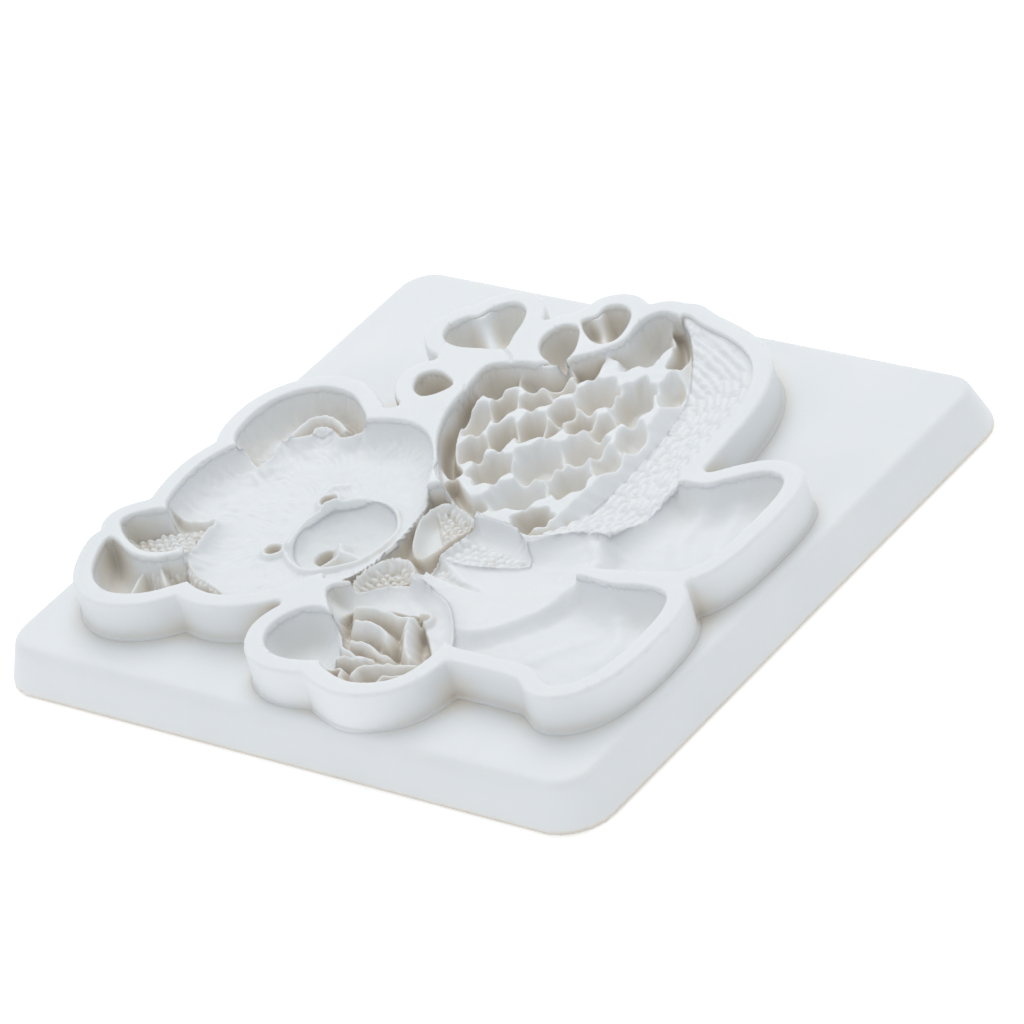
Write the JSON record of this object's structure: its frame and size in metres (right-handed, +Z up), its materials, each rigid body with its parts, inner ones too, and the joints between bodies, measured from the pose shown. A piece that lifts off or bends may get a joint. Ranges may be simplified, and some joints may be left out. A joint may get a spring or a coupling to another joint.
{
  "type": "silicone resin casting mould",
  "caption": "Pale translucent silicone mould with raised walls, for casting a teddy bear with a basket of flowers in resin.",
  "frame": {"origin": "centre of the slab's underside", "axes": "+Z up out of the open cavities, +X along the slab's longer side from the bear's head to its feet, +Y towards the flower basket"},
  "size_m": [0.105, 0.098, 0.0124],
  "materials": {
    "silicone": "satin"
  },
  "bodies": {
    "root": {"base_slab": "silicone", "wall_ear": "silicone", "wall_brow": "silicone", "wall_ribbon": "silicone", "wall_chin": "silicone", "wall_paw": "silicone", "wall_lower_foot": "silicone", "wall_upper_foot": "silicone", "wall_basket": "silicone", "wall_buds": "silicone", "wall_hearts": "silicone", "head_bowl": "silicone", "muzzle_bowl": "silicone", "ear_bowl": "silicone", "inner_ear_mound": "silicone", "ribbon_loop_floor": "silicone", "ribbon_tail_floor": "silicone", "neck_channel": "silicone", "collar_upper_floor": "silicone", "collar_lower_floor": "silicone", "scarf_panel_floor": "silicone", "scarf_strip_floor": "silicone", "body_bowl": "silicone", "upper_foot_bowl": "silicone", "lower_foot_bowl": "silicone", "arm_bowl": "silicone", "paw_bowl": "silicone", "rose_petals": "silicone", "flower_bed": "silicone", "flower_crests": "silicone", "basket_weave": "silicone", "heart_bowl": "silicone", "drop_bowl": "silicone", "bud_bowl": "silicone", "twin_bud_bowl": "silicone"}
  },
  "joints": []
}
